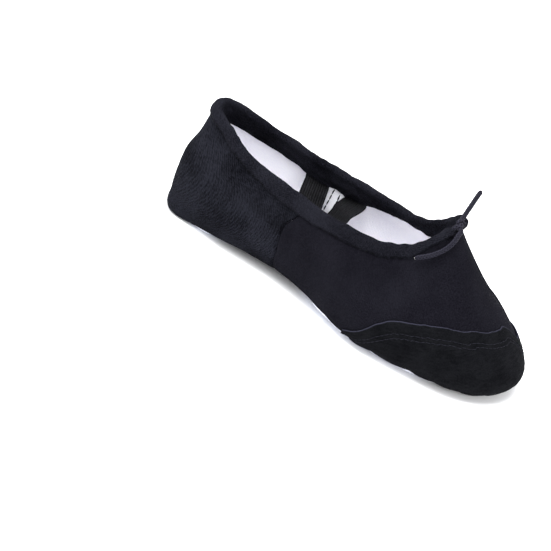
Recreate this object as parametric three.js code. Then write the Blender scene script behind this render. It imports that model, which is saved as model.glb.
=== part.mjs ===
// A soft canvas ballet slipper with a split suede sole, a drawstring and crossed elastic straps.
//
// Frame: millimetres, +X towards the toe, +Y to the wearer's left, +Z up. The origin lies on the
// ground in the middle of the slipper's footprint.
//
// The outer cloth follows one smooth surface, wall(t, v). The angle t runs round the foot in
// degrees: 0 is the toe, 90 the middle of the left side, 180 the heel and -90 the middle of the
// right side. The row number v climbs from the sole margin (0) to the top line (5). Each layer is
// an offset of that surface: positive offsets lie outside it and negative ones inside it.

import * as THREE from 'three';

// ---------------------------------------------------------------- driving dimensions

// Rows of the last from the sole margin to the top line. toe and heel are the X of the row's ends,
// toeRadius and heelRadius its end radii, widths its half widths at WIDTH_STATIONS, and heights
// its Z at heightStations. A station is a share of the row's length, counted from the toe.
const WIDTH_STATIONS = [0.10, 0.22, 0.38, 0.60, 0.80, 0.92];
const FIVE_STATIONS = [0, 0.25, 0.5, 0.75, 1];
const TOP_STATIONS = [0, 0.10, 0.25, 0.5, 0.75, 1];
const MARGIN_HEIGHT = 1.7;
const EDGE_HEIGHT = 2.9;
const ROWS = [
  { toe: 77.0, heel: -80.5, toeRadius: 24, widths: [16, 20, 19, 12, 13.5, 11.5], heelRadius: 18,
    heights: [MARGIN_HEIGHT], heightStations: null },
  { toe: 89.0, heel: -91.0, toeRadius: 28, widths: [24, 29.5, 30, 19, 20, 16.5], heelRadius: 21,
    heights: [EDGE_HEIGHT], heightStations: null },
  { toe: 93.0, heel: -94.17, toeRadius: 30, widths: [28, 33, 34, 24.1, 23.4, 18.6], heelRadius: 22,
    heights: [10.9, 11, 12, 12, 11], heightStations: FIVE_STATIONS },
  { toe: 81.2, heel: -92.5, toeRadius: 29.4, widths: [26.9, 31, 32.5, 25.1, 23.2, 18],
    heelRadius: 21, heights: [23.5, 25, 26, 27, 29], heightStations: FIVE_STATIONS },
  { toe: 65.9, heel: -87.7, toeRadius: 26, widths: [20, 25, 28, 24.1, 21.3, 15.2], heelRadius: 17,
    heights: [34.7, 34.7, 36, 38, 42], heightStations: FIVE_STATIONS },
  { toe: 41.75, heel: -84.3, toeRadius: 14, widths: [13.9, 19.3, 21.1, 19.5, 15.4, 9.6],
    heelRadius: 9, heights: [59.3, 46.6, 43.6, 44.7, 47.6, 56.8], heightStations: TOP_STATIONS },
];
const TOP_ROW = 5;

// The arch lifts off the ground between the two sole patches.
const ARCH_LIFT = 2.0;
const ARCH_FRONT = [30, -4];      // X where the lift starts, and where it is full
const ARCH_REAR = [-66, -40];

// Layers, as offsets from the outer cloth.
const CANVAS = [0, -0.9];
const LINING = [-1.3, -1.95];
const TOE_CAP = [1.0, 0.4];
const SEAM_TAPE = [-2.25, -2.65];
const STRAP_END = [-2.95, -3.85];

// Heights above the margin, for the flat layers under the foot.
const SOLE_CANVAS = [0, 0.9];
const PAD = [1.25, 2.2];
const INSOLE = [2.5, 3.3];
const SUEDE_GAP = 0.45;
const SUEDE_THICKNESS = MARGIN_HEIGHT - SUEDE_GAP;

// The side seam joins the vamp to the quarters: its angle at each row.
const SEAM_ROWS = [0, 1.85, 2.85, 3.45, 4, 4.8, 5];
const SEAM_ANGLES = [104, 104, 102, 100, 96, 89, 88];
const SEAM_CLEARANCE = 0.16;      // degrees each side of a side seam
const BACK_CLEARANCE = 0.5;       // degrees each side of the back seam
const CANVAS_TOP_DEPTH = 3.6;     // the cloth ends this far below the top line, inside the casing

// The drawstring casing folds over the top edge. Depths are measured down from the top line.
const CASING_OUTER = [1.1, 0.3];
const CASING_INNER = [-2.4, -3.2];
const CASING_ANGLES = [0, 15, 26, 37, 45, 58, 72, 94, 105, 112, 121, 132, 180];
const CASING_DEPTHS = [5.4, 5.4, 6.2, 8, 9.6, 12.2, 13, 12.6, 10.8, 9.5, 8.4, 7.6, 7.6];
const INNER_LEG_DEPTH = 7.5;      // lower edge of the inner leg along the sides
const CASING_GAP_ANGLE = 6.4;     // the casing's ends stop this far from the front centre

// Drawstring.
const CORD_RADIUS = 1.0;
const CORD_DEPTH = 2.15;
const CORD_OFFSET = -1.05;
const KNOT_DEPTH = 0.4;
const KNOT_OFFSET = 0.8;
const KNOT_HALF_SIZE = [2.6, 2.5, 2.3];
const TAIL_RADIUS = 1.1;
const LEFT_TAIL_ROUTE = [
  [42.3, 3.2, 61.4], [42.1, 5.2, 62.9], [41.9, 7.6, 64.7], [41.7, 10.4, 66.9], [41.5, 13.2, 69.1],
  [41.4, 16.0, 71.2],
];
const RIGHT_TAIL_ROUTE = [
  [46.0, -3.1, 58.9], [46.1, -5.2, 58.0], [46.3, -7.1, 56.4], [45.9, -8.9, 54.3],
  [45.0, -10.6, 52.3], [43.6, -12.7, 50.5], [42.0, -14.5, 49.0], [40.3, -16.0, 47.8],
  [38.2, -17.1, 46.4], [36.3, -17.9, 45.1],
];

// Crossed elastic straps.
const STRAP_REAR_X = -34.5;
const STRAP_FRONT_X = -14;
const STRAP_PIVOT_HEIGHT = 33;
const STRAP_WALL_REACH = 21.5;    // half the width between the sewn ends
const STRAP_REACH = 16.5;         // half the width between a strap's free ends
const STRAP_HALF_WIDTH = 5.8;
const STRAP_END_HALF_WIDTH = 4;
const STRAP_THICKNESS = 1.0;
const STRAP_DEPTHS = { a: 12.5, b: 15.5 };
const STRAP_END_HEIGHTS = [36.2, 31.2];
const STRAP_END_HALF_ANGLE = 4.0; // degrees each side of a sewn end's middle

// Sole patches, pads and insole: eggs about (x, 0). bias widens the egg towards the toe, and
// square is 1 for an ellipse and less for a squarer end.
const FOREFOOT_PATCH = { x: 30.6, length: 43, width: 29, bias: 0.07, square: 0.82 };
const HEEL_PATCH = { x: -69.4, length: 19.4, width: 17.2, bias: 0.06, square: 0.85 };
const FOREFOOT_PAD = { x: 31.5, length: 37, width: 14.4, bias: 0.05, square: 0.9 };
const HEEL_PAD = { x: -62.5, length: 13.5, width: 7.4, bias: 0.05, square: 0.95 };

// ---------------------------------------------------------------- the last

const degrees = THREE.MathUtils.degToRad;
const { smoothstep, clamp } = THREE.MathUtils;

// Smooth curve through values at increasing knots.
function through(knots, values, at) {
  if (knots === null) {
    return values[0];
  }
  const last = knots.length - 1;
  const x = clamp(at, knots[0], knots[last]);
  let i = 0;
  while (i < last - 1 && x > knots[i + 1]) {
    i += 1;
  }
  const slope = (k) => {
    const before = Math.max(k - 1, 0);
    const after = Math.min(k + 1, last);
    return (values[after] - values[before]) / (knots[after] - knots[before]);
  };
  const span = knots[i + 1] - knots[i];
  const s = (x - knots[i]) / span;
  return (2 * s ** 3 - 3 * s ** 2 + 1) * values[i] + (s ** 3 - 2 * s ** 2 + s) * span * slope(i)
    + (-2 * s ** 3 + 3 * s ** 2) * values[i + 1] + (s ** 3 - s ** 2) * span * slope(i + 1);
}

function archLift(x) {
  const front = 1 - smoothstep(x, ARCH_FRONT[1], ARCH_FRONT[0]);
  return ARCH_LIFT * front * smoothstep(x, ARCH_REAR[0], ARCH_REAR[1]);
}

// A row's half width divided by the sine of t, which stays finite at the toe and the heel.
function fullness(row, station) {
  const half = (row.toe - row.heel) / 2;
  const inner = WIDTH_STATIONS.map((u, i) => row.widths[i] / Math.sqrt(1 - (1 - 2 * u) ** 2));
  const values = [Math.sqrt(row.toeRadius * half), ...inner, Math.sqrt(row.heelRadius * half)];
  return through([0, ...WIDTH_STATIONS, 1], values, station);
}

function rowPoint(row, t) {
  const station = (1 - Math.cos(degrees(t))) / 2;
  const x = (row.toe + row.heel) / 2 + (row.toe - row.heel) / 2 * Math.cos(degrees(t));
  const lift = row.heightStations === null ? archLift(x) : 0;
  const z = through(row.heightStations, row.heights, station) + lift;
  return new THREE.Vector3(x, Math.sin(degrees(t)) * fullness(row, station), z);
}

// The outer cloth: a Catmull-Rom blend of the rows.
function wall(t, v) {
  const i = clamp(Math.floor(v), 0, TOP_ROW - 1);
  const s = v - i;
  const at = (k) => rowPoint(ROWS[k], t);
  const p1 = at(i);
  const p2 = at(i + 1);
  const p0 = i > 0 ? at(i - 1) : p1.clone().multiplyScalar(2).sub(p2);
  const p3 = i + 2 <= TOP_ROW ? at(i + 2) : p2.clone().multiplyScalar(2).sub(p1);
  return new THREE.Vector3()
    .addScaledVector(p0, (-s + 2 * s ** 2 - s ** 3) / 2)
    .addScaledVector(p1, (2 - 5 * s ** 2 + 3 * s ** 3) / 2)
    .addScaledVector(p2, (s + 4 * s ** 2 - 3 * s ** 3) / 2)
    .addScaledVector(p3, (s ** 3 - s ** 2) / 2);
}

function outward(t, v) {
  const turn = 0.4;
  const climb = 0.01;
  const along = wall(t + turn, v).sub(wall(t - turn, v));
  const up = wall(t, v + climb).sub(wall(t, v - climb));
  return along.cross(up).normalize();
}

function layer(t, v, offset) {
  return wall(t, v).addScaledVector(outward(t, v), offset);
}

// The row number a given distance below the top line, measured along the cloth.
function rowAtDepth(t, depth) {
  const step = 0.02;
  let v = TOP_ROW;
  let travelled = 0;
  let here = wall(t, v);
  while (travelled < depth && v > 0) {
    v -= step;
    const next = wall(t, v);
    travelled += next.distanceTo(here);
    here = next;
  }
  return v;
}

// The row number at which a column of the wall reaches a height.
function rowAtHeight(t, height) {
  let low = 1;
  let high = TOP_ROW;
  for (let i = 0; i < 24; i += 1) {
    const middle = (low + high) / 2;
    if (wall(t, middle).z < height) {
      low = middle;
    } else {
      high = middle;
    }
  }
  return low;
}

function seamAngle(v) {
  return through(SEAM_ROWS, SEAM_ANGLES, v);
}

// ---------------------------------------------------------------- solids

// A closed solid from rings of points. Every ring has the same number of points, which run
// counter-clockwise seen from the ring after it, and caps close the two ends.
function loft(rings, caps) {
  const count = rings[0].length;
  const positions = rings.flat().flatMap((p) => [p.x, p.y, p.z]);
  const index = [];
  for (let i = 0; i + 1 < rings.length; i += 1) {
    for (let j = 0; j < count; j += 1) {
      const a = i * count + j;
      const b = i * count + (j + 1) % count;
      index.push(a, b, b + count, a, b + count, a + count);
    }
  }
  const end = (rings.length - 1) * count;
  for (const [a, b, c] of caps) {
    index.push(a, c, b, end + a, end + b, end + c);
  }
  const geometry = new THREE.BufferGeometry();
  geometry.setAttribute('position', new THREE.Float32BufferAttribute(positions, 3));
  geometry.setIndex(index);
  return geometry;
}

// A shell over a patch of the wall. place(share, j) gives the angle and the row number of the
// patch's points, and offsets are the layer's outer and inner faces.
function wallShell(columns, rowCount, place, offsets) {
  const rings = [];
  for (let i = 0; i <= columns; i += 1) {
    const outer = [];
    const inner = [];
    for (let j = 0; j < rowCount; j += 1) {
      const { t, v } = place(i / columns, j);
      outer.push(layer(t, v, offsets[0]));
      inner.push(layer(t, v, offsets[1]));
    }
    rings.push([...outer.reverse(), ...inner]);
  }
  return loft(rings, bandCaps(rowCount));
}

// Triangles that close the end of a band whose ring runs down one face and up the other.
function bandCaps(rowCount) {
  const caps = [];
  const last = 2 * rowCount - 1;
  for (let j = 0; j + 1 < rowCount; j += 1) {
    caps.push([j, j + 1, last - j - 1], [j, last - j - 1, last - j]);
  }
  return caps;
}

// A plate under the foot: concentric rings of an outline about its middle.
function plate(outline, middleX, segments, ringShares, bottomAt, topAt) {
  const positions = [];
  const index = [];
  const addSkin = (heightAt) => {
    const first = positions.length / 3;
    positions.push(middleX, 0, heightAt(middleX, 0));
    for (const share of ringShares) {
      for (let i = 0; i < segments; i += 1) {
        const [edgeX, edgeY] = outline(360 * i / segments);
        const x = middleX + share * (edgeX - middleX);
        positions.push(x, share * edgeY, heightAt(x, share * edgeY));
      }
    }
    return first;
  };
  const top = addSkin(topAt);
  const bottom = addSkin(bottomAt);
  for (const [first, faceUp] of [[top, true], [bottom, false]]) {
    const face = (a, b, c) => (faceUp ? index.push(a, b, c) : index.push(a, c, b));
    for (let i = 0; i < segments; i += 1) {
      const next = (i + 1) % segments;
      face(first, first + 1 + i, first + 1 + next);
      for (let ring = 0; ring + 1 < ringShares.length; ring += 1) {
        const near = first + 1 + ring * segments;
        const far = near + segments;
        face(near + i, far + i, far + next);
        face(near + i, far + next, near + next);
      }
    }
  }
  const rim = 1 + (ringShares.length - 1) * segments;
  for (let i = 0; i < segments; i += 1) {
    const next = (i + 1) % segments;
    index.push(bottom + rim + i, bottom + rim + next, top + rim + next);
    index.push(bottom + rim + i, top + rim + next, top + rim + i);
  }
  const geometry = new THREE.BufferGeometry();
  geometry.setAttribute('position', new THREE.Float32BufferAttribute(positions, 3));
  geometry.setIndex(index);
  return geometry;
}

function tube(route, radius, steps) {
  const sides = 8;
  const section = new THREE.Shape();
  section.setFromPoints(Array.from({ length: sides }, (_, i) => new THREE.Vector2(
    radius * Math.cos(2 * Math.PI * i / sides),
    radius * Math.sin(2 * Math.PI * i / sides),
  )));
  return new THREE.ExtrudeGeometry(section, {
    steps,
    extrudePath: new THREE.CatmullRomCurve3(route.map((p) => new THREE.Vector3(...p))),
    bevelEnabled: false,
  });
}

const slipper = new THREE.Group();

function addPart(name, geometry, color, roughness) {
  const material = new THREE.MeshStandardMaterial({ color, roughness, metalness: 0 });
  const mesh = new THREE.Mesh(geometry, material);
  mesh.name = name;
  slipper.add(mesh);
}

const BLACK_CANVAS = 0x17171a;
const BLACK_SUEDE = 0x101012;
const WHITE_COTTON = 0xe2e3ea;
const WHITE_SUEDE = 0xd3d6e2;
const BLACK_ELASTIC = 0x1c1c20;

// ---------------------------------------------------------------- canvas and lining

const CANVAS_ROWS = [0, 0.4, 0.8, 1.1, 1.5, 2, 2.5, 3, 3.5, 4];
const LINING_ROWS = [1.5, 2, 2.5, 3, 3.5, 4];
const UPPER_SHARES = [0.35, 0.7, 1];
const VAMP_COLUMNS = 32;
const QUARTER_COLUMNS = 14;

// Row number j of a layer that ends under the casing, at the angle t.
function layerRow(rows, j, t) {
  if (j < rows.length) {
    return rows[j];
  }
  const top = rowAtDepth(t, CANVAS_TOP_DEPTH);
  return THREE.MathUtils.lerp(rows[rows.length - 1], top, UPPER_SHARES[j - rows.length]);
}

function vampLayer(rows, offsets) {
  const place = (share, j) => {
    const roughT = (2 * share - 1) * SEAM_ANGLES[0];
    const v = layerRow(rows, j, roughT);
    return { t: (2 * share - 1) * (seamAngle(v) - SEAM_CLEARANCE), v };
  };
  return wallShell(VAMP_COLUMNS, rows.length + UPPER_SHARES.length, place, offsets);
}

// side is 1 for the left quarter and -1 for the right one.
function quarterLayer(side, rows, offsets) {
  const place = (share, j) => {
    const s = side > 0 ? share : 1 - share;
    const roughT = THREE.MathUtils.lerp(SEAM_ANGLES[0], 180, s);
    const v = layerRow(rows, j, roughT);
    const start = seamAngle(v) + SEAM_CLEARANCE;
    return { t: side * THREE.MathUtils.lerp(start, 180 - BACK_CLEARANCE, s), v };
  };
  return wallShell(QUARTER_COLUMNS, rows.length + UPPER_SHARES.length, place, offsets);
}

addPart('vamp', vampLayer(CANVAS_ROWS, CANVAS), BLACK_CANVAS, 0.95);
addPart('quarter_left', quarterLayer(1, CANVAS_ROWS, CANVAS), BLACK_CANVAS, 0.95);
addPart('quarter_right', quarterLayer(-1, CANVAS_ROWS, CANVAS), BLACK_CANVAS, 0.95);
addPart('vamp_lining', vampLayer(LINING_ROWS, LINING), WHITE_COTTON, 0.9);
addPart('quarter_lining_left', quarterLayer(1, LINING_ROWS, LINING), WHITE_COTTON, 0.9);
addPart('quarter_lining_right', quarterLayer(-1, LINING_ROWS, LINING), WHITE_COTTON, 0.9);

// ---------------------------------------------------------------- sole

function eggPoint(egg, angle) {
  const c = Math.cos(degrees(angle));
  const s = Math.sin(degrees(angle));
  const x = Math.sign(c) * Math.abs(c) ** egg.square;
  const y = Math.sign(s) * Math.abs(s) ** egg.square;
  return [egg.x + egg.length * x, egg.width * y * (1 + egg.bias * c)];
}

// Whether a point of the ground plan lies inside the row v of the wall.
function insideRow(x, y, v) {
  const toe = wall(0, v).x;
  const heel = wall(180, v).x;
  const c = (x - (toe + heel) / 2) / ((toe - heel) / 2);
  return Math.abs(c) < 1 && Math.abs(y) < wall(THREE.MathUtils.radToDeg(Math.acos(c)), v).y;
}

// Height of the cloth's underside above a point of the ground plan.
function underside(x, y) {
  if (insideRow(x, y, 0)) {
    return MARGIN_HEIGHT + archLift(x);
  }
  let low = 0;
  let high = 1.7;
  for (let i = 0; i < 20; i += 1) {
    const middle = (low + high) / 2;
    if (insideRow(x, y, middle)) {
      high = middle;
    } else {
      low = middle;
    }
  }
  const toe = wall(0, high).x;
  const heel = wall(180, high).x;
  const c = clamp((x - (toe + heel) / 2) / ((toe - heel) / 2), -1, 1);
  return wall(THREE.MathUtils.radToDeg(Math.acos(c)), high).z;
}

function suedePatch(egg) {
  return plate((angle) => eggPoint(egg, angle), egg.x, 40, [0.3, 0.6, 0.8, 0.92, 1],
    (x, y) => underside(x, y) - SUEDE_GAP - SUEDE_THICKNESS,
    (x, y) => underside(x, y) - SUEDE_GAP);
}

function pad(egg) {
  return plate((angle) => eggPoint(egg, angle), egg.x, 28, [0.4, 0.75, 1],
    (x) => MARGIN_HEIGHT + archLift(x) + PAD[0],
    (x) => MARGIN_HEIGHT + archLift(x) + PAD[1]);
}

// A full-length layer whose outline is a row of the wall drawn in by a margin.
function fullLengthLayer(row, margin, heights) {
  const outline = (angle) => {
    const edge = rowPoint(row, angle > 180 ? angle - 360 : angle);
    const along = rowPoint(row, angle + 1).sub(rowPoint(row, angle - 1)).setZ(0).normalize();
    return [edge.x - margin * along.y, edge.y + margin * along.x];
  };
  return plate(outline, 0, 48, [0.25, 0.5, 0.75, 1],
    (x) => MARGIN_HEIGHT + archLift(x) + heights[0],
    (x) => MARGIN_HEIGHT + archLift(x) + heights[1]);
}

addPart('sole_canvas', fullLengthLayer(ROWS[0], 0.7, SOLE_CANVAS), BLACK_CANVAS, 0.95);
addPart('forefoot_pad', pad(FOREFOOT_PAD), WHITE_COTTON, 0.9);
addPart('heel_pad', pad(HEEL_PAD), WHITE_COTTON, 0.9);
addPart('insole', fullLengthLayer(ROWS[1], 3.4, INSOLE), WHITE_COTTON, 0.9);
addPart('forefoot_patch', suedePatch(FOREFOOT_PATCH), WHITE_SUEDE, 0.95);
addPart('heel_patch', suedePatch(HEEL_PATCH), WHITE_SUEDE, 0.95);

// ---------------------------------------------------------------- toe cap

const CAP_ANGLES = [0, 14, 26, 37, 46, 56, 62, 68, 73, 76];
const CAP_ROWS = [3.3, 3.35, 3.35, 3.25, 3.1, 2.85, 2.6, 2.2, 1.7, 1.4];
const CAP_SPREAD = 75;
const CAP_LEFT_DROP = 0.55;       // rows by which the cap's edge runs lower on the left side
const CAP_DROP_ANGLES = [4, 24];  // where the drop starts, and where it is full
const CAP_COLUMNS = 26;
const CAP_ROW_COUNT = 11;
const CAP_PATCH_MARGIN = 1.2;

function insideEgg(egg, x, y, margin) {
  const grown = { ...egg, length: egg.length + margin, width: egg.width + margin };
  for (let angle = 0; angle < 180; angle += 1) {
    const [x0, y0] = eggPoint(grown, angle);
    const [x1, y1] = eggPoint(grown, angle + 1);
    if (x <= x0 && x >= x1) {
      return Math.abs(y) < y0 + (y1 - y0) * (x0 - x) / Math.max(x0 - x1, 1e-6);
    }
  }
  return false;
}

// The lowest row of the cap: the sole margin, or the edge of the suede patch.
function capBottom(t) {
  let v = 0;
  let point = wall(t, v);
  while (v < 1.3 && insideEgg(FOREFOOT_PATCH, point.x, point.y, CAP_PATCH_MARGIN)) {
    v += 0.02;
    point = wall(t, v);
  }
  return v;
}

// The highest row of the cap. It fades back to the right side's height where the edge comes down.
function capTop(t) {
  const drop = smoothstep(t, ...CAP_DROP_ANGLES) * (1 - smoothstep(t, 56, 72));
  return through(CAP_ANGLES, CAP_ROWS, Math.abs(t)) - CAP_LEFT_DROP * drop;
}

function toeCap() {
  const place = (share, j) => {
    const t = (2 * share - 1) * CAP_SPREAD;
    const low = capBottom(t);
    return { t, v: THREE.MathUtils.lerp(low, capTop(t), j / (CAP_ROW_COUNT - 1)) };
  };
  return wallShell(CAP_COLUMNS, CAP_ROW_COUNT, place, TOE_CAP);
}

addPart('toe_cap', toeCap(), BLACK_SUEDE, 0.7);

// ---------------------------------------------------------------- casing and drawstring

// A point of the casing's frame: depth below the top line and offset from the outer cloth.
function casingPoint(t, depth, offset) {
  const v = rowAtDepth(t, depth);
  return layer(t, v, offset);
}

const CREST_STEPS = 4;
const CREST_MIDDLE = (CASING_OUTER[0] + CASING_INNER[1]) / 2;
const CREST_RADIUS = (CASING_OUTER[0] - CASING_INNER[1]) / 2;
const TUNNEL_RADIUS = (CASING_OUTER[1] - CASING_INNER[0]) / 2;

// One section of the casing at the angle t: down the outer leg, back up inside it, round the
// tunnel, down the inner leg and over the crest.
function casingRing(t) {
  const outerDepth = through(CASING_ANGLES, CASING_DEPTHS, Math.abs(t));
  const innerDepth = Math.min(outerDepth, INNER_LEG_DEPTH);
  const crest = casingPoint(t, CREST_RADIUS, CREST_MIDDLE);
  const v = rowAtDepth(t, CREST_RADIUS);
  const out = outward(t, v);
  const along = wall(t + 0.4, v).sub(wall(t - 0.4, v)).normalize();
  const up = out.clone().cross(along).normalize();
  const arc = (radius, share) => {
    const angle = Math.PI * share;
    return crest.clone()
      .addScaledVector(out, radius * Math.cos(angle))
      .addScaledVector(up, radius * Math.sin(angle));
  };
  const middleDepth = (depth) => (CREST_RADIUS + depth) / 2;
  const ring = [
    casingPoint(t, outerDepth, CASING_OUTER[0]),
    casingPoint(t, middleDepth(outerDepth), CASING_OUTER[0]),
  ];
  for (let i = 0; i <= CREST_STEPS; i += 1) {
    ring.push(arc(CREST_RADIUS, i / CREST_STEPS));
  }
  ring.push(casingPoint(t, innerDepth, CASING_INNER[1]));
  ring.push(casingPoint(t, innerDepth, CASING_INNER[0]));
  for (let i = CREST_STEPS; i >= 0; i -= 1) {
    ring.push(arc(TUNNEL_RADIUS, i / CREST_STEPS));
  }
  ring.push(casingPoint(t, middleDepth(outerDepth), CASING_OUTER[1]));
  ring.push(casingPoint(t, outerDepth, CASING_OUTER[1]));
  return ring.reverse();
}

function casing() {
  const columns = 72;
  const rings = [];
  for (let i = 0; i <= columns; i += 1) {
    const t = CASING_GAP_ANGLE + (360 - 2 * CASING_GAP_ANGLE) * i / columns;
    rings.push(casingRing(t > 180 ? t - 360 : t));
  }
  return loft(rings, sectionCaps(casingOutline()));
}

// Triangles that fill a flat section, turned the same way round as its outline.
function sectionCaps(outline) {
  const { triangulateShape, isClockWise } = THREE.ShapeUtils;
  return triangulateShape(outline, []).map(([a, b, c]) => {
    const sameTurn = isClockWise([outline[a], outline[b], outline[c]]) === isClockWise(outline);
    return sameTurn ? [a, b, c] : [a, c, b];
  });
}

// The casing's section laid flat, with the same points in the same order as casingRing.
function casingOutline() {
  const legs = 6;
  const flat = [];
  const arc = (radius, share) => flat.push(new THREE.Vector2(
    CREST_MIDDLE + radius * Math.cos(Math.PI * share),
    radius * Math.sin(Math.PI * share),
  ));
  flat.push(new THREE.Vector2(CASING_OUTER[0], -legs));
  flat.push(new THREE.Vector2(CASING_OUTER[0], -legs / 2));
  for (let i = 0; i <= CREST_STEPS; i += 1) {
    arc(CREST_RADIUS, i / CREST_STEPS);
  }
  flat.push(new THREE.Vector2(CASING_INNER[1], -legs));
  flat.push(new THREE.Vector2(CASING_INNER[0], -legs));
  for (let i = CREST_STEPS; i >= 0; i -= 1) {
    arc(TUNNEL_RADIUS, i / CREST_STEPS);
  }
  flat.push(new THREE.Vector2(CASING_OUTER[1], -legs / 2));
  flat.push(new THREE.Vector2(CASING_OUTER[1], -legs));
  return flat.reverse();
}

function drawstringLoop() {
  const points = 60;
  const route = [];
  for (let i = 0; i <= points; i += 1) {
    const t = CASING_GAP_ANGLE + (360 - 2 * CASING_GAP_ANGLE) * i / points;
    const p = casingPoint(t > 180 ? t - 360 : t, CORD_DEPTH, CORD_OFFSET);
    route.push([p.x, p.y, p.z]);
  }
  return tube(route, CORD_RADIUS, 72);
}

function knot() {
  const [x, y, z] = KNOT_HALF_SIZE;
  const at = casingPoint(0, KNOT_DEPTH, KNOT_OFFSET);
  return new THREE.SphereGeometry(1, 12, 8).scale(x, y, z).translate(at.x, at.y, at.z);
}

addPart('casing', casing(), BLACK_CANVAS, 0.9);
addPart('drawstring_loop', drawstringLoop(), BLACK_ELASTIC, 0.8);
addPart('drawstring_knot', knot(), BLACK_ELASTIC, 0.8);
addPart('drawstring_tail_left', tube(LEFT_TAIL_ROUTE, TAIL_RADIUS, 8), BLACK_ELASTIC, 0.8);
addPart('drawstring_tail_right', tube(RIGHT_TAIL_ROUTE, TAIL_RADIUS, 12), BLACK_ELASTIC, 0.8);

// ---------------------------------------------------------------- straps and tapes

// A strap hangs in a half ellipse below the line between its two ends.
function strap(leftX, rightX, depth) {
  const steps = 24;
  const share = STRAP_REACH / STRAP_WALL_REACH;
  const middle = new THREE.Vector3((leftX + rightX) / 2, 0, STRAP_PIVOT_HEIGHT);
  const reach = new THREE.Vector3((leftX - rightX) / 2, STRAP_WALL_REACH, 0).multiplyScalar(share);
  const half = reach.length();
  const along = reach.clone().normalize();
  const across = new THREE.Vector3(along.y, -along.x, 0);
  const down = new THREE.Vector3(0, 0, -1);
  const rings = [];
  for (let i = 0; i <= steps; i += 1) {
    const angle = Math.PI * i / steps;
    const point = middle.clone()
      .addScaledVector(along, half * Math.cos(angle))
      .addScaledVector(down, depth * Math.sin(angle));
    const face = along.clone().multiplyScalar(Math.cos(angle) / half)
      .addScaledVector(down, Math.sin(angle) / depth).normalize();
    const fullWidth = smoothstep(Math.sin(angle), 0, 0.5);
    const width = THREE.MathUtils.lerp(STRAP_END_HALF_WIDTH, STRAP_HALF_WIDTH, fullWidth);
    const corner = (side, out) => point.clone()
      .addScaledVector(across, side * width)
      .addScaledVector(face, out * STRAP_THICKNESS / 2);
    rings.push([corner(-1, -1), corner(-1, 1), corner(1, 1), corner(1, -1)]);
  }
  return loft(rings, [[0, 1, 2], [0, 2, 3]]);
}

// The column of the wall that passes through a given X at a given height.
function angleAtX(x, height) {
  let low = 0;
  let high = 180;
  for (let i = 0; i < 24; i += 1) {
    const middle = (low + high) / 2;
    if (wall(middle, rowAtHeight(middle, height)).x > x) {
      low = middle;
    } else {
      high = middle;
    }
  }
  return low;
}

// The end of an elastic, sewn flat against the lining below the casing.
function strapEnd(x, side) {
  const rows = 4;
  const middle = angleAtX(x, STRAP_PIVOT_HEIGHT);
  const place = (share, j) => {
    const t = side * middle + (2 * share - 1) * STRAP_END_HALF_ANGLE;
    const height = THREE.MathUtils.lerp(STRAP_END_HEIGHTS[1], STRAP_END_HEIGHTS[0], j / (rows - 1));
    return { t, v: rowAtHeight(Math.abs(t), height) };
  };
  return wallShell(4, rows, place, STRAP_END);
}

const TAPE_HALF_ANGLE = 3.4;
const TAPE_HEIGHTS = [8, 36];
const TAPE_TOP = { x: -24, z: 34 };
const TAPE_LEAN = 0.12;           // how far the tape runs forwards for each millimetre it rises

// The tape that covers a side seam inside the shoe, between the sewn ends of the elastics.
function seamTape(side) {
  const rows = 9;
  const place = (share, j) => {
    const height = THREE.MathUtils.lerp(TAPE_HEIGHTS[0], TAPE_HEIGHTS[1], j / (rows - 1));
    const middle = angleAtX(TAPE_TOP.x + TAPE_LEAN * (height - TAPE_TOP.z), height);
    const v = rowAtHeight(middle, height);
    return { t: side * middle + (2 * share - 1) * TAPE_HALF_ANGLE, v };
  };
  return wallShell(3, rows, place, SEAM_TAPE);
}

addPart('strap_a', strap(STRAP_REAR_X, STRAP_FRONT_X, STRAP_DEPTHS.a), BLACK_ELASTIC, 0.8);
addPart('strap_b', strap(STRAP_FRONT_X, STRAP_REAR_X, STRAP_DEPTHS.b), BLACK_ELASTIC, 0.8);
addPart('strap_a_end_left', strapEnd(STRAP_REAR_X, 1), BLACK_ELASTIC, 0.8);
addPart('strap_a_end_right', strapEnd(STRAP_FRONT_X, -1), BLACK_ELASTIC, 0.8);
addPart('strap_b_end_left', strapEnd(STRAP_FRONT_X, 1), BLACK_ELASTIC, 0.8);
addPart('strap_b_end_right', strapEnd(STRAP_REAR_X, -1), BLACK_ELASTIC, 0.8);
addPart('seam_tape_left', seamTape(1), WHITE_COTTON, 0.9);
addPart('seam_tape_right', seamTape(-1), WHITE_COTTON, 0.9);

export default slipper;
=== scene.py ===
"""A soft canvas ballet slipper, dressed in cloth, suede and elastic around its CAD frame."""
import math
from itertools import product

import bpy
import numpy as np
from mathutils import Matrix, Vector


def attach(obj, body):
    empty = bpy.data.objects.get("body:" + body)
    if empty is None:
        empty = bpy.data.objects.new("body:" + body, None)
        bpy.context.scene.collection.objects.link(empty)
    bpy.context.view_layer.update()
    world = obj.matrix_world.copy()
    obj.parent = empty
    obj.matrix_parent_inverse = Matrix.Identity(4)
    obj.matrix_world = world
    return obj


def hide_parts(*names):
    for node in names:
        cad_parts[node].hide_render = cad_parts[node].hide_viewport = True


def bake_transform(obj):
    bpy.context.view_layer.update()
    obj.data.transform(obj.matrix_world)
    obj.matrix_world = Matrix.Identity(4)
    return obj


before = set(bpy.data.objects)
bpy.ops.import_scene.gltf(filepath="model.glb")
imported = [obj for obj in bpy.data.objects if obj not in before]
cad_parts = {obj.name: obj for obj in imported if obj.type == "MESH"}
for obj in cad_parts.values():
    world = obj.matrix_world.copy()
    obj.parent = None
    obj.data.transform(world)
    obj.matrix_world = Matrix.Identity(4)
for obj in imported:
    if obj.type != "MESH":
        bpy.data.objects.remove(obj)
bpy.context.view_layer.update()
MM = 0.001

# ---------- sizes shared with the CAD, mm

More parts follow.
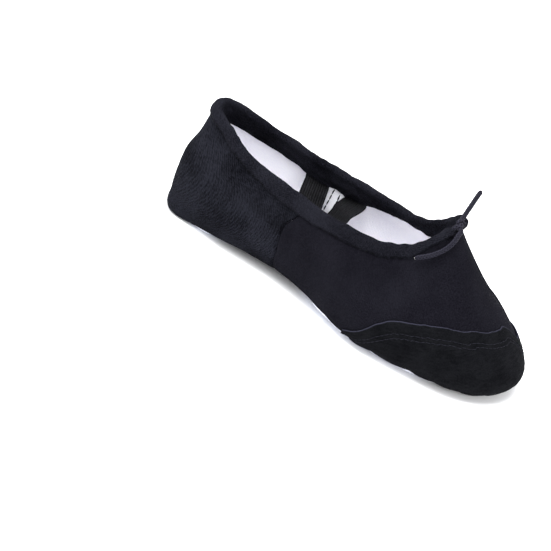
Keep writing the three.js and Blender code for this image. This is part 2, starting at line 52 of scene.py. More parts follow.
WIDTH_STATIONS = (0.10, 0.22, 0.38, 0.60, 0.80, 0.92)
FIVE_STATIONS = (0, 0.25, 0.5, 0.75, 1)
TOP_STATIONS = (0, 0.10, 0.25, 0.5, 0.75, 1)
MARGIN_HEIGHT = 1.7
EDGE_HEIGHT = 2.9
# Each row: toe x, heel x, toe radius, half widths, heel radius, height stations, heights.
ROWS = (
    (77.0, -80.5, 24, (16, 20, 19, 12, 13.5, 11.5), 18, None, (MARGIN_HEIGHT,)),
    (89.0, -91.0, 28, (24, 29.5, 30, 19, 20, 16.5), 21, None, (EDGE_HEIGHT,)),
    (93.0, -94.17, 30, (28, 33, 34, 24.1, 23.4, 18.6), 22, FIVE_STATIONS, (10.9, 11, 12, 12, 11)),
    (81.2, -92.5, 29.4, (26.9, 31, 32.5, 25.1, 23.2, 18), 21, FIVE_STATIONS,
     (23.5, 25, 26, 27, 29)),
    (65.9, -87.7, 26, (20, 25, 28, 24.1, 21.3, 15.2), 17, FIVE_STATIONS,
     (34.7, 34.7, 36, 38, 42)),
    (41.75, -84.3, 14, (13.9, 19.3, 21.1, 19.5, 15.4, 9.6), 9, TOP_STATIONS,
     (59.3, 46.6, 43.6, 44.7, 47.6, 56.8)),
)
TOP_ROW = 5
ARCH_LIFT = 2.0
ARCH_FRONT = (30, -4)
ARCH_REAR = (-66, -40)
SEAM_ROWS = (0, 1.85, 2.85, 3.45, 4, 4.8, 5)
SEAM_ANGLES = (104, 104, 102, 100, 96, 89, 88)
CASING_ANGLES = (0, 15, 26, 37, 45, 58, 72, 94, 105, 112, 121, 132, 180)
CASING_DEPTHS = (5.4, 5.4, 6.2, 8, 9.6, 12.2, 13, 12.6, 10.8, 9.5, 8.4, 7.6, 7.6)
CASING_GAP_ANGLE = 6.4
CREST_RADIUS = 2.15
CREST_MIDDLE = -1.05
CAP_ANGLES = (0, 14, 26, 37, 46, 56, 62, 68, 73, 76)
CAP_ROWS = (3.3, 3.35, 3.35, 3.25, 3.1, 2.85, 2.6, 2.2, 1.7, 1.4)
CAP_SPREAD = 75
# Each egg: middle x, half length, half width, bias, squareness.
FOREFOOT_PATCH = (30.6, 43, 29, 0.07, 0.82)
HEEL_PATCH = (-69.4, 19.4, 17.2, 0.06, 0.85)
FOREFOOT_PAD = (31.5, 37, 14.4, 0.05, 0.9)
HEEL_PAD = (-62.5, 13.5, 7.4, 0.05, 0.95)
KNOT_CENTRE = np.array([43.0, 0.0, 59.6])
LEFT_TAIL_ROUTE = (
    (42.3, 3.2, 61.4), (42.1, 5.2, 62.9), (41.9, 7.6, 64.7), (41.7, 10.4, 66.9),
    (41.5, 13.2, 69.1), (41.4, 16.0, 71.2),
)
RIGHT_TAIL_ROUTE = (
    (46.0, -3.1, 58.9), (46.1, -5.2, 58.0), (46.3, -7.1, 56.4), (45.9, -8.9, 54.3),
    (45.0, -10.6, 52.3), (43.6, -12.7, 50.5), (42.0, -14.5, 49.0), (40.3, -16.0, 47.8),
    (38.2, -17.1, 46.4), (36.3, -17.9, 45.1),
)
STRAP_REAR_X = -34.5
STRAP_FRONT_X = -14.0
STRAP_HEIGHT = 33.0
STRAP_WALL_REACH = 21.5
STRAP_REACH = 16.5
STRAP_HALF_WIDTH = 5.8
STRAP_THICKNESS = 1.0

# Sizes of the visual alone. The casing's inner leg hangs deeper than the CAD's, down over the tops of
# the straps, the toe cap's edge runs a little lower on the left, and the sewn strap ends are higher.
INNER_LEG_ANGLES = (0, 40, 60, 75, 90, 100, 110, 120, 180)
INNER_LEG_DEPTHS = (5.4, 5.4, 6.8, 12.4, 15.2, 14.4, 13, 12.2, 12.2)
CAP_LEFT_DROP = 0.72
CAP_DROP_ANGLES = (2, 18)
CAP_OFFSET = 0.85
CAP_STITCH_DEPTHS = (5.4, 7.4)
GATHER_LIFT = 3.9     # the pulled string bunches the left side of the casing up
STRAP_END_HEIGHTS = (34.2, 41.0)
STRAP_END_HALF_ANGLE = 3.7
SIDES = (("left", 1), ("right", -1))


# ---------- small maths

def smoothstep(x, low, high):
    s = np.clip((np.asarray(x, float) - low) / (high - low), 0, 1)
    return s * s * (3 - 2 * s)


def fade(x, low, high):
    return 1 - smoothstep(x, low, high)


def bump(x, width):
    return np.exp(-(np.asarray(x, float) / width) ** 2)


def unit(vectors):
    return vectors / np.maximum(np.linalg.norm(vectors, axis=-1, keepdims=True), 1e-9)


def through(knots, values, at):
    """Smooth curve through values at increasing knots."""
    knots = np.asarray(knots, float)
    values = np.asarray(values, float)
    at = np.clip(at, knots[0], knots[-1])
    before = np.maximum(np.arange(len(knots)) - 1, 0)
    after = np.minimum(np.arange(len(knots)) + 1, len(knots) - 1)
    slopes = (values[after] - values[before]) / (knots[after] - knots[before])
    i = np.clip(np.searchsorted(knots, at, side="right") - 1, 0, len(knots) - 2)
    span = knots[i + 1] - knots[i]
    s = (at - knots[i]) / span
    return (
        (2 * s**3 - 3 * s**2 + 1) * values[i]
        + (s**3 - 2 * s**2 + s) * span * slopes[i]
        + (-2 * s**3 + 3 * s**2) * values[i + 1]
        + (s**3 - s**2) * span * slopes[i + 1]
    )


def bilinear(table, a, b):
    """A table looked up at fractional row numbers a and column numbers b."""
    i = np.clip(np.floor(a).astype(int), 0, table.shape[0] - 2)
    j = np.clip(np.floor(b).astype(int), 0, table.shape[1] - 2)
    p = np.clip(a - i, 0, 1)
    q = np.clip(b - j, 0, 1)
    low = table[i, j] * (1 - q) + table[i, j + 1] * q
    high = table[i + 1, j] * (1 - q) + table[i + 1, j + 1] * q
    return low * (1 - p) + high * p


def noise(points, seed):
    """Smooth noise from -1 to 1, at points measured in grains."""
    lattice = np.random.RandomState(seed).uniform(-1, 1, (32, 32, 32))
    cell = np.floor(points).astype(int)
    s = points - cell
    s = s * s * (3 - 2 * s)
    total = np.zeros(points.shape[:-1])
    for corner in product((0, 1), repeat=3):
        share = np.prod(np.where(corner, s, 1 - s), axis=-1)
        place = (cell + corner) % 32
        total += share * lattice[place[..., 0], place[..., 1], place[..., 2]]
    return total


def stack3(a, b, c):
    a, b, c = np.broadcast_arrays(a, b, c)
    return np.stack([a, b, c], axis=-1).astype(float)


def patchy(a, b, c, seed):
    """Smooth noise at three coordinates measured in grains."""
    return noise(stack3(a, b, c), seed)


def travel(points, axis=0):
    """The distance travelled from the first point to each one, along an axis."""
    steps = np.linalg.norm(np.diff(points, axis=axis), axis=-1)
    start = np.zeros_like(np.take(steps, [0], axis=axis))
    return np.concatenate([start, np.cumsum(steps, axis=axis)], axis=axis)


def halved(low, high, goes_up, steps):
    """The value between low and high where a test stops holding, found by halving."""
    for _ in range(steps):
        middle = (low + high) / 2
        up = goes_up(middle)
        low = np.where(up, middle, low)
        high = np.where(up, high, middle)
    return low, high


# ---------- the last, as in the CAD

def arch_lift(x):
    front = fade(x, ARCH_FRONT[1], ARCH_FRONT[0])
    return ARCH_LIFT * front * smoothstep(x, ARCH_REAR[0], ARCH_REAR[1])


def row_point(row, t):
    toe, heel, toe_radius, widths, heel_radius, stations, heights = row
    half = (toe - heel) / 2
    angle = np.radians(t)
    station = (1 - np.cos(angle)) / 2
    inner = [w / math.sqrt(1 - (1 - 2 * u) ** 2) for u, w in zip(WIDTH_STATIONS, widths)]
    values = [math.sqrt(toe_radius * half), *inner, math.sqrt(heel_radius * half)]
    fullness = through((0, *WIDTH_STATIONS, 1), values, station)
    x = (toe + heel) / 2 + half * np.cos(angle)
    if stations is None:
        z = heights[0] + arch_lift(x)
    else:
        z = through(stations, heights, station)
    return stack3(x, np.sin(angle) * fullness, z)


def wall(t, v):
    """The smooth outer cloth at the angle t and the row number v."""
    t, v = np.broadcast_arrays(np.asarray(t, float), np.asarray(v, float))
    rows = np.stack([row_point(row, t) for row in ROWS])
    i = np.clip(np.floor(v).astype(int), 0, TOP_ROW - 1)
    s = (v - i)[..., None]

    def at(k):
        place = np.clip(k, 0, TOP_ROW)[None, ..., None]
        return np.take_along_axis(rows, place, axis=0)[0]

    p1 = at(i)
    p2 = at(i + 1)
    p0 = np.where((i > 0)[..., None], at(i - 1), 2 * p1 - p2)
    p3 = np.where((i + 2 <= TOP_ROW)[..., None], at(i + 2), 2 * p2 - p1)
    return (
        p0 * (-s + 2 * s**2 - s**3) / 2
        + p1 * (2 - 5 * s**2 + 3 * s**3) / 2
        + p2 * (s + 4 * s**2 - 3 * s**3) / 2
        + p3 * (s**3 - s**2) / 2
    )


def outward(t, v):
    along = wall(t + 0.4, v) - wall(t - 0.4, v)
    up = wall(t, v + 0.01) - wall(t, v - 0.01)
    return unit(np.cross(along, up))


DEPTH_STEP = 0.01
DEPTH_ROWS = np.linspace(TOP_ROW, 0, 501)
DEPTH_COLUMNS = np.linspace(0, 180, 181)
DEPTH_POINTS = wall(DEPTH_COLUMNS[:, None], DEPTH_ROWS[None, :])
TRAVELLED = travel(DEPTH_POINTS, 1)
DEPTH_GRID = np.arange(0, 60, 0.25)
ROW_AT_DEPTH = np.stack([np.interp(DEPTH_GRID, column, DEPTH_ROWS) for column in TRAVELLED])
GIRTH_POINTS = wall(np.linspace(0, 180, 361)[None, :], np.linspace(0, TOP_ROW, 51)[:, None])
GIRTH = travel(GIRTH_POINTS, 1)


def folded(t):
    """The angle from the toe, 0 to 180, whichever side it is on."""
    return np.abs((np.asarray(t, float) + 180) % 360 - 180)


def row_at_depth(t, depth):
    """The row number a distance below the top line, measured along the cloth."""
    t, depth = np.broadcast_arrays(folded(t), np.asarray(depth, float))
    return bilinear(ROW_AT_DEPTH, t, depth / 0.25)


def depth_of(t, v):
    t, v = np.broadcast_arrays(folded(t), np.asarray(v, float))
    return bilinear(TRAVELLED, t, (TOP_ROW - v) / DEPTH_STEP)


def girth_of(t, v):
    """Distance round the shoe from the toe, negative on the right side."""
    t, v = np.broadcast_arrays(np.asarray(t, float), np.asarray(v, float))
    signed = (t + 180) % 360 - 180
    return np.sign(signed) * bilinear(GIRTH, v * 10, np.abs(signed) * 2)


def row_at_height(t, height):
    low = np.full(np.shape(t), 1.0)
    high = np.full(np.shape(t), float(TOP_ROW))
    return halved(low, high, lambda v: wall(t, v)[..., 2] < height, 20)[0]


def angle_at_x(x, height):
    """The angle where the wall at a height has its x."""
    def is_ahead(t):
        return wall(t, row_at_height(t, height))[..., 0] > x

    return halved(np.array([0.0]), np.array([180.0]), is_ahead, 20)[0][0]


def seam_angle(v):
    return through(SEAM_ROWS, SEAM_ANGLES, v)


def casing_depth(t):
    return through(CASING_ANGLES, CASING_DEPTHS, folded(t))


# ---------- how the worn cloth lies

def drape(p):
    return 0.50 * noise(p / 27, 3) + 0.22 * noise(p / 12, 4) + 0.06 * noise(p / 5, 5)


def seam_relief(t, v):
    """The side seam sinks in, and pulls short ripples across itself."""
    girth = girth_of(t, v)
    distance = np.abs(np.abs(girth) - np.abs(girth_of(seam_angle(v), v)))
    depth = depth_of(t, v)
    ripple = patchy(depth / 4.2, distance / 14, np.sign(girth) * 3 + 9, 6)
    below_casing = smoothstep(depth - casing_depth(t), -3.0, -1.2)
    return (-0.85 * bump(distance, 0.8) + 0.40 * ripple * np.exp(-distance / 8)) * below_casing


def casing_relief(t, v):
    """The casing's stitching gathers the cloth below it."""
    below = np.maximum(depth_of(t, v) - casing_depth(t) + 1.4, 0)
    girth = girth_of(t, v)
    front = fade(folded(t), 18, 62)
    ripple = patchy(girth / 3.4, below / 17, 4, 7)
    broad = patchy(girth / 8.5, below / 26, 8, 8)
    return (ripple * (0.24 + 0.30 * front) + broad * 0.22) * np.exp(-below / 7.5)


def toe_pleats(t, v):
    """Radial pleats where the cloth is lasted under the toe."""
    place = folded(t) / 10.5 + 0.55 * patchy(np.asarray(t) / 13, v * 0.6, 2, 9)
    ridge = np.abs(np.sin(np.pi * place)) ** 0.55
    toe = fade(folded(t), 72, 96)
    heel = smoothstep(folded(t), 152, 166)
    rise = smoothstep(v, 0.02, 0.35) * fade(v, 0.85, 1.75)
    return (0.95 * toe + 0.5 * heel) * (ridge - 0.7) * rise


def heel_rim(t, v):
    """The heel's outer cloth bellies out just above the sole, away from the lining."""
    return 3.3 * smoothstep(folded(t), 128, 158) * bump(np.asarray(v) - 0.98, 0.5)


def relief(t, v):
    """How far the worn cloth stands off the smooth last."""
    t, v = np.broadcast_arrays(np.asarray(t, float), np.asarray(v, float))
    loose = smoothstep(v, 0.25, 1.3)
    total = drape(wall(t, v)) + seam_relief(t, v) + casing_relief(t, v)
    return total * loose + toe_pleats(t, v)


def cloth(t, v, offset):
    """A point of a layer that moves with the worn cloth."""
    t, v = np.broadcast_arrays(np.asarray(t, float), np.asarray(v, float))
    lift = np.asarray(offset + relief(t, v))
    lift = lift + np.where(np.asarray(offset) > -1.0, heel_rim(t, v), 0)
    p = wall(t, v) + outward(t, v) * lift[..., None]
    p[..., 2] = np.maximum(p[..., 2], 0.35)
    return p


# ---------- meshes

def add_object(name, data):
    made = bpy.data.objects.new(name, data)
    bpy.context.scene.collection.objects.link(made)
    return made


def add_mesh(name, points, faces, material, coordinates):
    """A smooth mesh from points in millimetres, with its cloth coordinates."""
    mesh = bpy.data.meshes.new(name)
    mesh.from_pydata((points * MM).tolist(), [], faces)
    mesh.polygons.foreach_set("use_smooth", np.ones(len(mesh.polygons), bool))
    attribute = mesh.attributes.new("cloth_mm", "FLOAT_VECTOR", "POINT")
    attribute.data.foreach_set("vector", coordinates.astype(np.float32).ravel())
    mesh.materials.append(material)
    return add_object(name, mesh)


def grid_quads(columns, rows, wrap=False):
    i = np.arange(columns if wrap else columns - 1)
    j = np.arange(rows - 1)
    a, b = np.meshgrid(i, j, indexing="ij")
    after = (a + 1) % columns
    quads = np.stack([a * rows + b, after * rows + b, after * rows + b + 1, a * rows + b + 1], -1)
    return quads.reshape(-1, 4)


def grid_normals(grid):
    along = np.gradient(grid, axis=0)
    up = np.gradient(grid, axis=1)
    return unit(np.cross(along, up))


def grid_border(columns, rows):
    """Index pairs round a grid, counter-clockwise seen from its front."""
    bottom = [(i, 0) for i in range(columns - 1)]
    right = [(columns - 1, j) for j in range(rows - 1)]
    top = [(i, rows - 1) for i in range(columns - 1, 0, -1)]
    left = [(0, j) for j in range(rows - 1, 0, -1)]
    return np.array(bottom + right + top + left)


RIM_ANGLES = (45, 90, 135)


def shell(name, outer, thickness, material, coordinates):
    """A closed cloth shell behind a grid of points, with a rounded edge all round."""
    columns, rows = outer.shape[:2]
    normals = grid_normals(outer)
    inner = outer - normals * thickness
    border = grid_border(columns, rows)
    i, j = border.T
    inside_i = np.clip(i, 1, columns - 2)
    inside_j = np.clip(j, 1, rows - 2)
    push = unit(outer[i, j] - outer[inside_i, inside_j])
    middle = (outer[i, j] + inner[i, j]) / 2
    half = thickness / 2
    rims = [
        middle + half * (math.cos(math.radians(a)) * normals[i, j]
                         + 0.8 * math.sin(math.radians(a)) * push)
        for a in RIM_ANGLES
    ]
    points = np.concatenate([outer.reshape(-1, 3), inner.reshape(-1, 3), *rims])
    count = columns * rows
    quads = grid_quads(columns, rows)
    faces = [quads, quads[:, ::-1] + count]
    loops = [i * rows + j]
    loops += [2 * count + k * len(border) + np.arange(len(border)) for k in range(len(rims))]
    loops.append(i * rows + j + count)
    for near, far in zip(loops, loops[1:]):
        faces.append(np.stack([near, far, np.roll(far, -1), np.roll(near, -1)], -1))
    edge = coordinates[i, j]
    shades = np.concatenate([coordinates.reshape(-1, 3)] * 2 + [edge] * len(rims))
    return add_mesh(name, points, np.concatenate(faces).tolist(), material, shades)


def path_frames(path):
    """Two unit vectors across a path at each of its points, with no twist."""
    tangents = unit(np.gradient(path, axis=0))
    start = np.array([0.0, 0.0, 1.0])
    if abs(tangents[0] @ start) > 0.9:
        start = np.array([0.0, 1.0, 0.0])
    sides = []
    side = start
    for tangent in tangents:
        side = side - tangent * (side @ tangent)
        side = side / np.linalg.norm(side)
        sides.append(side)
    sides = np.array(sides)
    return sides, np.cross(tangents, sides)


def tube_points(path, radii, sides):
    across, over = path_frames(path)
    angles = np.linspace(0, 2 * np.pi, sides, endpoint=False)
    ring = (np.cos(angles)[None, :, None] * across[:, None]
            + np.sin(angles)[None, :, None] * over[:, None])
    return path[:, None] + ring * np.asarray(radii)[:, None, None]


def tube_faces(rings, sides, first=0):
    quads = []
    for k in range(rings - 1):
        a = first + k * sides + np.arange(sides)
        b = first + k * sides + (np.arange(sides) + 1) % sides
        quads.append(np.stack([a, b, b + sides, a + sides], -1))
    return np.concatenate(quads)


def resample(path, step):
    """Evenly spaced points on a smooth curve through a path."""
    path = np.asarray(path, float)
    knots = travel(path)
    count = max(int(round(knots[-1] / step)), 2) + 1
    at = np.linspace(0, knots[-1], count)
    return np.stack([through(knots, path[:, k], at) for k in range(3)], -1)


def tube(name, path, radius, material, sides=14, rounded=True):
    """A closed round cord along a path, with soft ends."""
    travelled = travel(path)
    radii = np.full(len(path), float(radius))
    if rounded:
        nearest = np.minimum(travelled, travelled[-1] - travelled)
        radii *= 0.55 + 0.45 * np.sqrt(np.clip(nearest / radius, 0, 1))
    points = tube_points(path, radii, sides).reshape(-1, 3)
    faces = tube_faces(len(path), sides)
    centres = np.stack([path[0], path[-1]])
    first = len(points)
    turn = np.arange(sides)
    after = (turn + 1) % sides
    last = (len(path) - 1) * sides
    start = np.stack([after, turn, np.full(sides, first)], -1)
    end = np.stack([turn + last, after + last, np.full(sides, first + 1)], -1)
    around = np.tile(turn * 2 * np.pi * radius / sides, len(path))
    along = np.repeat(travelled, sides)
    shades = np.concatenate([stack3(along, around, 0), np.zeros((2, 3))])
    faces = faces.tolist() + start.tolist() + end.tolist()
    return add_mesh(name, np.concatenate([points, centres]), faces, material, shades)


STITCH_STEPS = 6
STITCH_SIDES = 6
STITCH_POINTS = (STITCH_STEPS + 1) * STITCH_SIDES


def at_distances(at, knots, values):
    return np.stack([np.interp(at, knots, values[:, k]) for k in range(3)], -1)


def stitches(name, path, normals, pitch, share, radius, lift, material):
    """A row of threads along a path: each rises out of one needle hole and dives into the next."""
    knots = travel(path)
    count = max(int(knots[-1] / pitch), 1)
    points = []
    faces = []
    for k in range(count):
        start = (k + (1 - share) / 2) * knots[-1] / count
        stop = (k + (1 + share) / 2) * knots[-1] / count
        s = np.linspace(0, 1, STITCH_STEPS + 1)
        at = start + (stop - start) * s
        rise = lift * np.sin(np.pi * s) ** 0.5 - radius * 0.9
        centre = at_distances(at, knots, path)
        centre = centre + unit(at_distances(at, knots, normals)) * rise[:, None]
        radii = radius * (0.75 + 0.25 * np.sin(np.pi * s))
        faces.append(tube_faces(STITCH_STEPS + 1, STITCH_SIDES, k * STITCH_POINTS))
        points.append(tube_points(centre, radii, STITCH_SIDES).reshape(-1, 3))
    faces = np.concatenate(faces).tolist()
    for first in range(0, count * STITCH_POINTS, STITCH_POINTS):
        last = first + STITCH_STEPS * STITCH_SIDES
        faces.append([first + STITCH_SIDES - 1 - a for a in range(STITCH_SIDES)])
        faces.append([last + a for a in range(STITCH_SIDES)])
    points = np.concatenate(points)
    return add_mesh(name, points, faces, material, points)


# ---------- materials

class Graph:
    """Short calls for building a material's nodes."""

    def __init__(self, name):
        self.material = bpy.data.materials.new(name)
        self.material.use_nodes = True
        self.tree = self.material.node_tree
        self.tree.nodes.clear()
        self.shader = self.node("BsdfPrincipled")
        self.node("OutputMaterial", self.shader.outputs[0])

    def put(self, socket, value):
        if isinstance(value, bpy.types.NodeSocket):
            self.tree.links.new(value, socket)
        else:
            socket.default_value = value

    def node(self, kind, *values):
        """A new node, with values or links put into its first inputs."""
        made = self.tree.nodes.new("ShaderNode" + kind)
        for socket, value in zip(made.inputs, values):
            self.put(socket, value)
        return made

    def math(self, operation, a, b=0.0):
        made = self.node("Math", a, b)
        made.operation = operation
        return made.outputs[0]

    def total(self, *parts):
        """The sum of values, each given with its weight."""
        summed = None
        for value, weight in parts:
            part = value if weight == 1 else self.math("MULTIPLY", value, weight)
            summed = part if summed is None else self.math("ADD", summed, part)
        return summed

    def ramp(self, value, low, high, to_low=0.0, to_high=1.0):
        made = self.node("MapRange", value, low, high, to_low, to_high)
        made.interpolation_type = "SMOOTHSTEP"
        return made.outputs[0]

    def mix(self, share, a, b):
        made = self.node("Mix", share)
        made.data_type = "RGBA"
        self.put(made.inputs[6], (*a, 1) if isinstance(a, tuple) else a)
        self.put(made.inputs[7], (*b, 1) if isinstance(b, tuple) else b)
        return made.outputs[2]

    def place(self, x, y, z):
        return self.node("CombineXYZ", x, y, z).outputs[0]

    def cloth_mm(self):
        """The cloth coordinates x, y and z, and the place at x and y as one vector."""
        made = self.node("Attribute")
        made.attribute_name = "cloth_mm"
        x, y, z = self.node("SeparateXYZ", made.outputs["Vector"]).outputs
        return x, y, z, self.place(x, y, 0.0)

    def body_mm(self):
        """Object coordinates in millimetres."""
        scaled = self.node("VectorMath", self.node("TexCoord").outputs["Object"])
        scaled.operation = "SCALE"
        scaled.inputs["Scale"].default_value = 1000
        return scaled.outputs[0]

    def noise(self, vector, scale, detail=2.0, rough=0.55):
        return self.node("TexNoise", vector, 0.0, scale, detail, rough).outputs[0]

    def wave(self, value, pitch):
        """A ridge every pitch millimetres, from -1 to 1."""
        return self.math("SINE", self.math("MULTIPLY", value, 2 * math.pi / pitch))

    def finish(self, colour, roughness, height, depth_mm, sheen=0.0, sheen_rough=0.5,
               sheen_tint=(1, 1, 1), specular=0.3):
        raised = self.node("Bump")
        settings = (
            (raised, "Strength", 1.0),
            (raised, "Distance", depth_mm * MM),
            (raised, "Height", height),
            (self.shader, "Normal", raised.outputs[0]),
            (self.shader, "Base Color", colour),
            (self.shader, "Roughness", roughness),
            (self.shader, "Sheen Weight", sheen),
            (self.shader, "Sheen Roughness", sheen_rough),
            (self.shader, "Sheen Tint", (*sheen_tint, 1)),
            (self.shader, "Specular IOR Level", specular),
        )
        for node, name, value in settings:
            self.put(node.inputs[name], value)
        return self.material


CLOTH_TONE = 0.62     # the middle of a cloth's tone before its contrast is set


def woven(name, dark, light, pitch, depth_mm, sheen, tint, contrast=1.0, line=0.0):
    """Woven cloth: crossing threads with slubs, lint, a little fading and a faint diagonal line."""
    g = Graph(name)
    x, y, _, where = g.cloth_mm()
    wander = g.noise(where, 0.35, 1.0)
    x2 = g.total((x, 1), (wander, 0.4))
    y2 = g.total((y, 1), (wander, 0.4))
    weave = g.math("MULTIPLY", g.wave(x2, pitch), g.wave(y2, pitch))
    diagonal = g.wave(g.total((x2, 1), (y2, 1.3)), 1.55 * pitch)
    weave = g.total((weave, 1), (diagonal, line))
    weft = g.noise(g.place(g.math("MULTIPLY", x, 0.3), y, 0.0), 2.2, 2.0)
    warp = g.noise(g.place(x, g.math("MULTIPLY", y, 0.3), 4.0), 2.2, 2.0)
    slub = g.math("ADD", weft, warp)
    grain = g.noise(where, 1.5, 3.0, 0.7)
    faded = g.noise(g.body_mm(), 0.045, 3.0)
    height = g.total((weave, 0.5), (g.math("ADD", slub, grain), 1))
    uneven = g.math("SUBTRACT", faded, 0.5)
    tone = g.total((slub, 0.25), (grain, 0.75), (weave, 0.07), (uneven, 0.5))
    share = g.ramp(tone, CLOTH_TONE - 0.26 / contrast, CLOTH_TONE + 0.26 / contrast)
    lint = g.ramp(g.noise(where, 1.3, 4.0, 0.8), 0.70, 0.78)
    colour = g.mix(share, dark, light)
    colour = g.mix(g.math("MULTIPLY", lint, 0.4), colour, tuple(min(1, 3.5 * c) for c in light))
    rough = g.ramp(grain, 0.3, 0.7, 0.98, 0.82)
    return g.finish(colour, rough, height, depth_mm, sheen, 0.45, tint, 0.02)


def napped(name, dark, light, edge_colour, depth_mm, sheen, tint):
    """Split suede: a short brushed nap, scuffs, and a paler raw edge."""
    g = Graph(name)
    x, y, edge, where = g.cloth_mm()
    nap = g.noise(where, 1.9, 4.0, 0.75)
    brushed = g.noise(g.place(g.math("MULTIPLY", x, 0.25), y, 1.0), 0.9, 3.0)
    cloud = g.noise(where, 0.11, 3.0)
    height = g.total((nap, 1), (brushed, 0.8))
    tone = g.total((nap, 0.7), (brushed, 0.12), (cloud, 0.28))
    colour = g.mix(g.ramp(tone, 0.40, 0.70), dark, light)
    raw = g.total((edge, 1), (g.math("SUBTRACT", nap, 0.5), 0.9))
    colour = g.mix(g.ramp(raw, 0.0, 0.45, 1.0, 0.0), colour, edge_colour)
    rough = g.ramp(brushed, 0.3, 0.7, 0.95, 0.78)
    return g.finish(colour, rough, height, depth_mm, sheen, 0.5, tint, 0.02)


def ribbed(name, dark, light, pitch, depth_mm):
    """Woven elastic: ribs along the band, crossed by fine picks."""
    g = Graph(name)
    x, y, _, where = g.cloth_mm()
    rib = g.wave(y, pitch)
    pick = g.wave(x, 0.7)
    grain = g.noise(where, 2.0, 3.0)
    height = g.total((rib, 0.7), (pick, 0.25), (grain, 1))
    share = g.ramp(g.total((rib, 0.3), (grain, 1)), 0.25, 0.85)
    colour = g.mix(share, dark, light)
    rough = g.ramp(grain, 0.3, 0.7, 0.8, 0.6)
    return g.finish(colour, rough, height, depth_mm, 0.006, 0.4, (0.8, 0.82, 1), 0.05)


def braided(name, dark, light):
    """Round braided elastic: strands that cross in a herringbone."""
    g = Graph(name)
    x, y, _, where = g.cloth_mm()
    left = g.wave(g.math("ADD", x, y), 1.3)
    right = g.wave(g.math("SUBTRACT", x, y), 1.3)
    braid = g.math("MAXIMUM", left, right)
    grain = g.noise(where, 2.4, 3.0)
    share = g.ramp(g.total((braid, 0.4), (grain, 1)), 0.3, 1.0)
    height = g.math("ADD", braid, grain)
    rough = g.ramp(grain, 0.3, 0.7, 0.75, 0.55)
    return g.finish(g.mix(share, dark, light), rough, height, 0.14, 0.006, 0.4,
                    (0.8, 0.82, 1), 0.05)


def spun(name, dark, light):
    """Sewing thread with a fine twist."""
    g = Graph(name)
    where = g.body_mm()
    grain = g.noise(where, 3.0, 2.0)
    twist = g.noise(where, 8.0, 1.0)
    height = g.math("ADD", grain, twist)
    rough = g.ramp(grain, 0.3, 0.7, 0.75, 0.6)
    return g.finish(g.mix(g.ramp(grain, 0.35, 0.65), dark, light), rough, height, 0.06,
                    specular=0.04)


COOL = (0.72, 0.78, 1)
WHITE = (1, 1, 1)
CANVAS = woven("black_canvas_cloth", (0.0006, 0.0006, 0.0014), (0.0135, 0.0140, 0.0195), 0.95, 0.34,
               0.004, COOL, 2.1, 0.6)
SMOOTH_CANVAS = woven("black_canvas_fine", (0.0018, 0.0016, 0.0030), (0.0072, 0.0070, 0.0100),
                      0.95, 0.14, 0.004, COOL, 1.2)
BINDING = woven("black_binding_cloth", (0.0010, 0.0010, 0.0020), (0.0110, 0.0112, 0.0155), 0.95,
                0.26, 0.004, (0.75, 0.8, 1), 1.5, 0.5)
COTTON = woven("white_cotton_cloth", (0.89, 0.88, 0.97), (0.985, 0.978, 1.0), 0.9, 0.16,
               0.03, WHITE)
TAPE = woven("white_tape_cloth", (0.86, 0.86, 0.90), (0.98, 0.98, 1.0), 0.8, 0.12,
             0.03, WHITE)
BLACK_SUEDE = napped("black_suede_nap", (0.0007, 0.0008, 0.0012), (0.0056, 0.0058, 0.0070),
                     (0.020, 0.020, 0.030), 0.16, 0.005, (0.78, 0.82, 1))
WHITE_SUEDE = napped("white_suede_nap", (0.58, 0.61, 0.72), (0.72, 0.75, 0.87),
                     (0.80, 0.82, 0.90), 0.20, 0.05, WHITE)
ELASTIC = ribbed("black_elastic_ribs", (0.0010, 0.0010, 0.0014), (0.0120, 0.0120, 0.0135), 1.15,
                 0.20)
CORD = braided("black_cord_braid", (0.0025, 0.0025, 0.0045), (0.0210, 0.0200, 0.0300))
BLACK_THREAD = spun("black_thread", (0.0004, 0.0004, 0.0008), (0.0022, 0.0022, 0.0032))
GREY_THREAD = spun("grey_thread", (0.0070, 0.0070, 0.0100), (0.0130, 0.0130, 0.0180))
WHITE_THREAD = spun("white_thread", (0.78, 0.78, 0.80), (0.93, 0.93, 0.94))
RUBBER = spun("pale_rubber_core", (0.38, 0.36, 0.33), (0.62, 0.60, 0.56))


# ---------- camera

# The camera looks at the slipper from its right front, above, and is rolled anticlockwise.
AZIMUTH = math.radians(21.6)
ELEVATION = math.radians(27.35)
ROLL = math.radians(20.4)
DISTANCE = 596.0
LENS = 87.2
SENSOR = 36.0
TARGET = np.array([-0.4, 0.0, 28.0])
AIM = (-0.139, -0.0671)      # the view's middle beside the target, in shares of its width


def place_camera():
    back = np.array([
        math.sin(AZIMUTH) * math.cos(ELEVATION),
        -math.cos(AZIMUTH) * math.cos(ELEVATION),
        math.sin(ELEVATION),
    ])
    level = np.array([math.cos(AZIMUTH), math.sin(AZIMUTH), 0.0])
    upright = np.cross(back, level)
    right = level * math.cos(ROLL) + upright * math.sin(ROLL)
    up = upright * math.cos(ROLL) - level * math.sin(ROLL)
    spread = SENSOR / LENS
    forward = unit(-back + right * AIM[0] * spread + up * AIM[1] * spread)
    right = unit(right - forward * (right @ forward))
    up = np.cross(right, forward)
    data = bpy.data.cameras.new("camera")
    data.lens = LENS
    data.sensor_width = SENSOR
    data.clip_start = 0.01
    data.clip_end = 10
    camera = add_object("camera", data)
    turn = Matrix([[right[k], up[k], -forward[k]] for k in range(3)])
    camera.matrix_world = Matrix.Translation(Vector((TARGET + back * DISTANCE) * MM)) @ turn.to_4x4()
    bpy.context.scene.camera = camera


place_camera()


# ---------- drawstring

